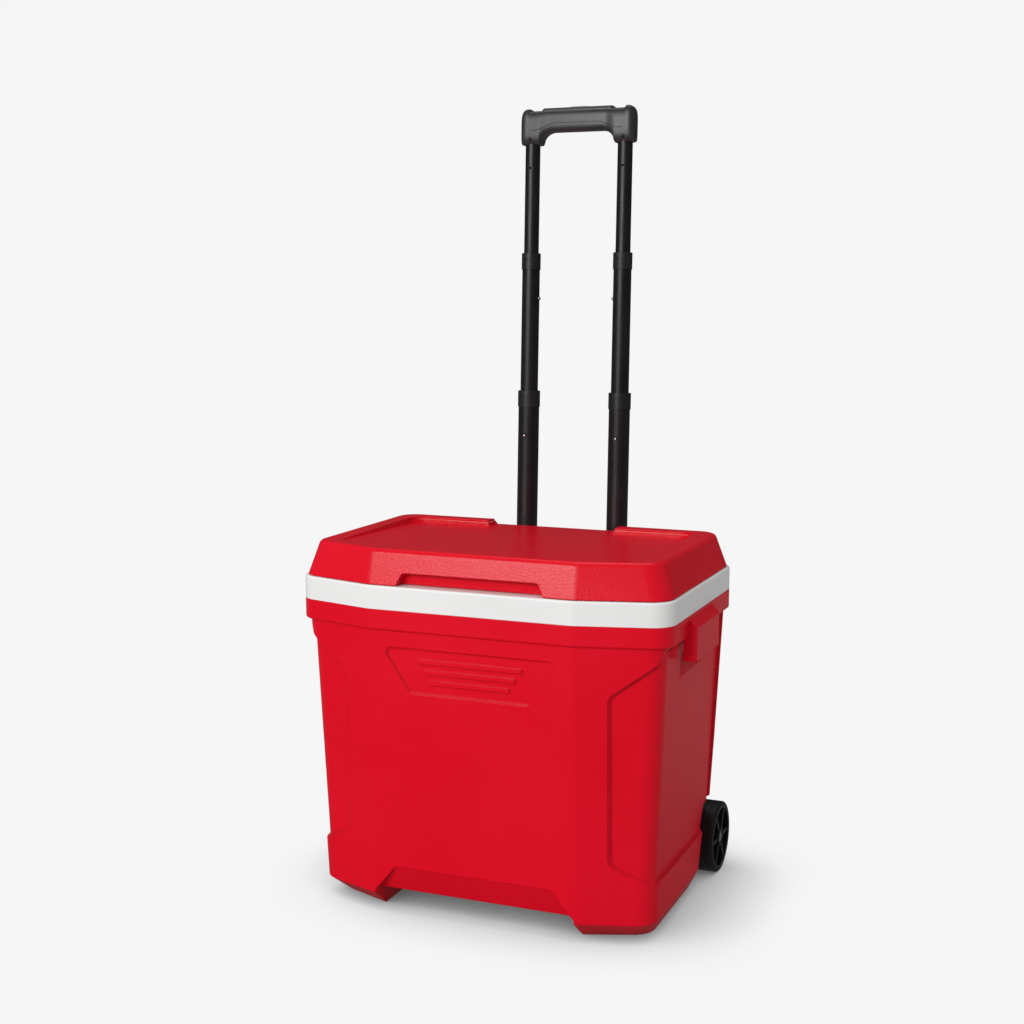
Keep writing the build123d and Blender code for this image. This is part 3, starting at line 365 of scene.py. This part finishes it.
# the two screws in the front of the grip are blackened
nodes["grip_tube_screws"].data.materials[0] = finishes["black_plastic"]
print(len(finishes), "finishes on", len(slot_of), "nodes")

# %% [markdown]
# ## Sweep paint
# The sweep is matt and pale, and it lights the object from below. What a camera sees of it
# is an even white that only darkens near the object: an ambient occlusion node looks around
# each point, a little more towards the key light, so the soft shadow lies mostly behind.
# What the glossy plastic reflects of it is darker, by depth, as a real room behind would be.

# %% sweep paint
SWEEP_PAINT, SWEEP_SEEN = 0.80, 0.923
SHADOW_REACH, SHADOW_POWER = 0.15, 1.10
TOWARDS_KEY = (-0.16, -0.42, 0.90)
OPEN_FLOOR = 0.93               # occlusion reading of the open floor, far from the object
DEPTH_FROM, DEPTH_TO = -2.0, 6.0
GLOSS_STOPS = ((-0.6, 0.02), (0.8, 0.22), (2.2, 0.22), (4.0, 0.06))

floor_finish = bpy.data.materials.new("pale sweep paint")
floor_finish.use_nodes = True
floor_tree = floor_finish.node_tree
floor_tree.nodes.remove(floor_tree.nodes["Principled BSDF"])
floor_rays = floor_tree.nodes.new("ShaderNodeLightPath")
floor_place = floor_tree.nodes.new("ShaderNodeTexCoord").outputs["Object"]
floor_split = floor_tree.nodes.new("ShaderNodeSeparateXYZ")
depth_share = floor_tree.nodes.new("ShaderNodeMapRange")
depth_share.inputs["From Min"].default_value = DEPTH_FROM
depth_share.inputs["From Max"].default_value = DEPTH_TO
gloss_ramp = floor_tree.nodes.new("ShaderNodeValToRGB")
stops = gloss_ramp.color_ramp.elements
while len(stops) < len(GLOSS_STOPS):
    stops.new(0.5)
for stop, (depth, level) in zip(stops, GLOSS_STOPS):
    stop.position = (depth - DEPTH_FROM) / (DEPTH_TO - DEPTH_FROM)
    stop.color = (level, level, level, 1.0)
around = floor_tree.nodes.new("ShaderNodeAmbientOcclusion")
around.samples = 12
around.inputs["Distance"].default_value = SHADOW_REACH
tilt = floor_tree.nodes.new("ShaderNodeCombineXYZ")
for axis, part in zip("XYZ", TOWARDS_KEY):
    tilt.inputs[axis].default_value = part
open_share = floor_tree.nodes.new("ShaderNodeMapRange")
open_share.inputs["From Max"].default_value = OPEN_FLOOR
deepen = floor_tree.nodes.new("ShaderNodeMath")
deepen.operation = "POWER"
deepen.inputs[1].default_value = SHADOW_POWER
seen = floor_tree.nodes.new("ShaderNodeMath")
seen.operation = "MULTIPLY"
seen.inputs[1].default_value = SWEEP_SEEN
paint = floor_tree.nodes.new("ShaderNodeBsdfDiffuse")
paint.inputs["Color"].default_value = (SWEEP_PAINT, SWEEP_PAINT, SWEEP_PAINT, 1.0)
glow = floor_tree.nodes.new("ShaderNodeEmission")
for_gloss = floor_tree.nodes.new("ShaderNodeMix")
direct = floor_tree.nodes.new("ShaderNodeMath")
direct.operation = "MAXIMUM"
mix = floor_tree.nodes.new("ShaderNodeMixShader")
join = floor_tree.links.new
join(floor_place, floor_split.inputs["Vector"])
join(floor_split.outputs["Y"], depth_share.inputs["Value"])
join(depth_share.outputs["Result"], gloss_ramp.inputs["Fac"])
join(tilt.outputs["Vector"], around.inputs["Normal"])
join(around.outputs["AO"], open_share.inputs["Value"])
join(open_share.outputs["Result"], deepen.inputs[0])
join(deepen.outputs[0], seen.inputs[0])
join(floor_rays.outputs["Is Camera Ray"], for_gloss.inputs["Factor"])
join(gloss_ramp.outputs["Color"], for_gloss.inputs["A"])
join(seen.outputs[0], for_gloss.inputs["B"])
join(for_gloss.outputs["Result"], glow.inputs["Strength"])
join(floor_rays.outputs["Is Camera Ray"], direct.inputs[0])
join(floor_rays.outputs["Is Glossy Ray"], direct.inputs[1])
join(direct.outputs[0], mix.inputs["Fac"])
join(paint.outputs["BSDF"], mix.inputs[1])
join(glow.outputs["Emission"], mix.inputs[2])
join(mix.outputs["Shader"], floor_tree.nodes["Material Output"].inputs["Surface"])
floor.data.materials.append(floor_finish)
print("sweep painted")

# %% [markdown]
# ## The grip
# The grip is a moulded arch over the tops of the tubes: two sockets, rounded at their outer
# corners, and a bar between them that meets the sockets in wide round corners. Its front is
# nearly flat, and a thin seam runs along it. It could be carved from a box, but every slice
# across it is a rounded rectangle, so one formula for the slice, carried from end to end,
# gives all its soft transitions at once.


# %% the frame the handle leans in
HANDLE_LEAN = math.atan(0.040)
AXIS_POINT = np.array([0.0, 0.1558, 0.400])


def leaning(local):
    """Turn points given as (x, depth, height along the tubes) into the object's frame:
    x stays, the other two turn about X by the lean, then move to the tube axis."""
    x, d, s = np.moveaxis(np.asarray(local, float), -1, 0)
    y = d * math.cos(HANDLE_LEAN) + s * math.sin(HANDLE_LEAN)
    z = -d * math.sin(HANDLE_LEAN) + s * math.cos(HANDLE_LEAN)
    return np.stack([x, y, z], axis=-1) + AXIS_POINT


print("handle leans", round(math.degrees(HANDLE_LEAN), 2), "degrees")


# %% grip slices
GRIP_HALF, GRIP_FOOT, GRIP_TOP, BAR_FOOT = 0.0795, 0.558, 0.6035, 0.5750
CAP_FROM, CAP_RUN, CAP_RISE = 0.0665, 0.0022, 0.0030
SOCKET_FROM, ARCH_TO = 0.0335, 0.0525
END_RUN = 0.0085
SQUARENESS = 4.2                # power of the superellipse that every slice follows


def ease(x, a, b):
    """Smooth step: 0 below a, 1 above b, cubic in between."""
    t = np.clip((x - a) / (b - a), 0.0, 1.0)
    return t * t * (3 - 2 * t)


def grip_limits(x):
    """Lower edge, upper edge and half depth of the grip at a place x along it.
    The lower edge is level under the bar, then falls along a quarter ellipse to the sockets'
    feet; the end caps stand a little above the shoulders and close in an ellipse quarter."""
    reach = np.abs(x)
    fall = np.clip((reach - SOCKET_FROM) / (ARCH_TO - SOCKET_FROM), 0.0, 1.0)
    foot = BAR_FOOT - (BAR_FOOT - GRIP_FOOT) * (1 - np.sqrt(1 - fall**2 * 0.9999))
    cap = ease(reach, CAP_FROM, CAP_FROM + CAP_RUN)
    end = np.clip((reach - (GRIP_HALF - END_RUN)) / END_RUN, 0.0, 1.0)
    close = 1 - np.sqrt(1 - end**2 * 0.985)
    top = GRIP_TOP + CAP_RISE * cap - 0.0105 * close
    depth = 0.0118 + 0.0018 * ease(reach, 0.040, 0.055) - 0.0055 * close
    foot = foot + 0.0012 * close
    return foot, top, depth


def rounded_slice(turns, squareness):
    """Unit superellipse: (|cos|, |sin|) raised to 2 / squareness, with their signs kept."""
    c, s = np.cos(turns), np.sin(turns)
    power = 2 / squareness
    return np.sign(c) * np.abs(c) ** power, np.sign(s) * np.abs(s) ** power


def grip_surface(x, turns):
    """Slices of the grip: depth and height are the half sizes times a unit superellipse."""
    foot, top, depth = grip_limits(x)
    middle, half = (foot + top) / 2, (top - foot) / 2
    d, h = rounded_slice(turns, SQUARENESS)
    gx = np.repeat(x[:, None], len(turns), axis=1)
    gd = depth[:, None] * d[None, :]
    gs = middle[:, None] + half[:, None] * h[None, :]
    return np.stack([gx, gd, gs], axis=-1)


def dense_ends(n, half):
    """n places from -half to half, closer together near both ends: half * sin(u * pi / 2)."""
    return half * np.sin(np.linspace(-1, 1, n) * math.pi / 2)


print("bar", round((GRIP_TOP - BAR_FOOT) * 1000, 1), "mm high")


# %% grip body
def capped(grid):
    """Points and faces of a tube-like grid whose two ends are closed by a middle point."""
    rows, cols = grid.shape[:2]
    sides = grid_faces(rows, cols, wrap_cols=True)
    centres = np.stack([grid[0].mean(0), grid[-1].mean(0)])
    points = np.concatenate([grid.reshape(-1, 3), centres])
    a, b = rows * cols, rows * cols + 1
    k = np.arange(cols)
    first = np.stack([k, np.full(cols, a), (k + 1) % cols], axis=-1)
    last = first[:, ::-1] + [(rows - 1) * cols, 0, (rows - 1) * cols]
    last[:, 1] = b
    return points, [list(f) for group in (sides, first, last) for f in group]


def outward(obj):
    """Turn all faces of a closed piece outwards."""
    work = bmesh.new()
    work.from_mesh(obj.data)
    bmesh.ops.recalc_face_normals(work, faces=work.faces)
    work.to_mesh(obj.data)
    work.free()
    return obj


turns = np.linspace(0, 2 * math.pi, 88, endpoint=False)
along_grip = dense_ends(241, GRIP_HALF)
grip_points, grip_quads = capped(leaning(grip_surface(along_grip, turns)))
grip = outward(mesh_object("grip_shell", grip_points, grip_quads))
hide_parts("grip_lower", "grip_upper")
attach(grip, "upper_stage")
print("grip of", len(grip.data.polygons), "faces")


# %% [markdown]
# ## Seam and ridge
# The grip is moulded in two halves, and a fine bead shows where they meet. On its top a low
# ridge frames the button. Both could be carved into the grip, but as thin closed pieces sunk
# halfway into it they keep a crisp edge without a finer mesh all over.

# %% seam along the front and back of the grip
SEAM_HEIGHT, SEAM_DROP = 0.5862, 0.0092
SEAM_HALF, SEAM_RADIUS = 0.0660, 0.00042


def seam_surface(face, n=161, m=10):
    """Thin bead that follows the grip's front (face -1) or back (face 1): its middle line
    runs level along the bar and bends down over the sockets, and each slice is a small
    circle, sunk halfway into the wall."""
    x = np.linspace(-SEAM_HALF, SEAM_HALF, n)
    height = SEAM_HEIGHT - SEAM_DROP * ease(np.abs(x), 0.030, 0.060)
    foot, top, depth = grip_limits(x)
    middle, half = (foot + top) / 2, (top - foot) / 2
    h = np.clip((height - middle) / half, -0.999, 0.999)
    wall = depth * (1 - np.abs(h) ** SQUARENESS) ** (1 / SQUARENESS)
    slope = np.gradient(height, x)
    turn = np.linspace(0, 2 * math.pi, m, endpoint=False)
    radius = SEAM_RADIUS * np.sqrt(ease(-np.abs(x), -SEAM_HALF, -SEAM_HALF + 0.002) + 0.01)
    across = radius[:, None] * np.cos(turn)[None, :]
    rise = radius[:, None] * np.sin(turn)[None, :]
    tilt = np.arctan(slope)[:, None]
    gx = x[:, None] - rise * np.sin(tilt)
    gd = face * (wall[:, None] - 0.0001 + across)
    gs = height[:, None] + rise * np.cos(tilt)
    return np.stack([gx, gd, gs], axis=-1)


seam_points, seam_faces = [], []
for face in (-1.0, 1.0):
    points, faces = capped(leaning(seam_surface(face)))
    start = sum(len(p) for p in seam_points)
    seam_points.append(points)
    seam_faces += [[i + start for i in f] for f in faces]
seam = outward(mesh_object("grip_seam", np.concatenate(seam_points), seam_faces))
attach(seam, "upper_stage")
print("seam of", len(seam.data.polygons), "faces")


# %% raised ridge round the button
RIDGE_HALF = 0.0505


def ridge_surface(n=121, m=28):
    """Long low bead on the grip's top: its height rises and falls along x like a plateau,
    and each slice is a superellipse whose lower half sinks into the grip."""
    x = dense_ends(n, RIDGE_HALF)
    plateau = ease(-np.abs(x), -RIDGE_HALF, -RIDGE_HALF + 0.003)
    turn = np.linspace(0, 2 * math.pi, m, endpoint=False)
    d, h = rounded_slice(turn, 3.2)
    wide = 0.0098 * (0.80 + 0.20 * plateau)
    tall = 0.0022 + 0.0022 * plateau
    gd = wide[:, None] * d[None, :]
    gs = GRIP_TOP - 0.0009 + tall[:, None] * h[None, :]
    gx = np.repeat(x[:, None], m, axis=1)
    return np.stack([gx, gd, gs], axis=-1)


ridge_points, ridge_quads = capped(leaning(ridge_surface()))
ridge = outward(mesh_object("grip_ridge", ridge_points, ridge_quads))
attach(ridge, "upper_stage")
print("ridge of", len(ridge.data.polygons), "faces")

# %% [markdown]
# ## Spring catches
# Each stage locks with a sprung round catch in a hole of the tube below. It is a small dome,
# so it is turned like on a lathe: one profile, carried round an axis.


# %% lathe helper and catches
def lathe(profile, centre, axis, steps=28):
    """Surface of revolution round a level axis: each profile row is (distance from the axis,
    place along it), and a point is centre + distance * ring direction + place * axis."""
    axis = np.asarray(axis, float) / np.linalg.norm(axis)
    side = np.cross(axis, [0.0, 0.0, 1.0])
    side = side / np.linalg.norm(side)
    other = np.cross(axis, side)
    turn = np.linspace(0, 2 * math.pi, steps, endpoint=False)
    profile = np.asarray(profile, float)
    ring = np.cos(turn)[:, None] * side + np.sin(turn)[:, None] * other
    return centre + profile[:, None, :1] * ring[None] + profile[:, None, 1:] * axis


def dome_profile(radius, root, tip, n=9):
    """From a point on the axis inside the tube, out along a short neck, over a quarter ellipse."""
    t = np.linspace(0, math.pi / 2, n)
    cap = np.stack([radius * np.cos(t), (tip - radius * 0.8) + radius * 0.8 * np.sin(t)], axis=-1)
    cap[-1, 0] = 0.00002
    return np.concatenate([[[0.00002, root], [radius, root]], cap])


TUBE_X = 0.0656
CATCH_RADIUS, CATCH_ROOT, CATCH_TIP = 0.0024, 0.0020, 0.0026


def catches(name, node, radius_tube, station, facing):
    """The pair of domes that stands for one CAD node of two catches."""
    points, faces = [], []
    for side in (-1.0, 1.0):
        direction = (-side, 0.0, 0.0) if facing == "inner" else (0.0, -1.0, 0.0)
        centre = leaning(np.array([side * TUBE_X, 0.0, station]))
        dome = dome_profile(CATCH_RADIUS, radius_tube - CATCH_ROOT, radius_tube + CATCH_TIP)
        p, f = capped(lathe(dome, centre, direction))
        faces += [[i + sum(len(q) for q in points) for i in face] for face in f]
        points.append(p)
    pair = outward(mesh_object(name, np.concatenate(points), faces))
    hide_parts(node)
    pair.data.materials.append(finishes["steel"])
    return pair


for piece in (grip, ridge, seam):
    piece.data.materials.append(finishes["grip_black"])
upper_domes = catches("upper_catch_domes", "upper_lock_catches", 0.0120, 0.3535, "inner")
lower_domes = catches("lower_catch_domes", "lower_lock_catches", 0.01425, 0.167, "front")
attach(upper_domes, "middle_stage")
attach(lower_domes, "lower_stage")
print("catches turned")
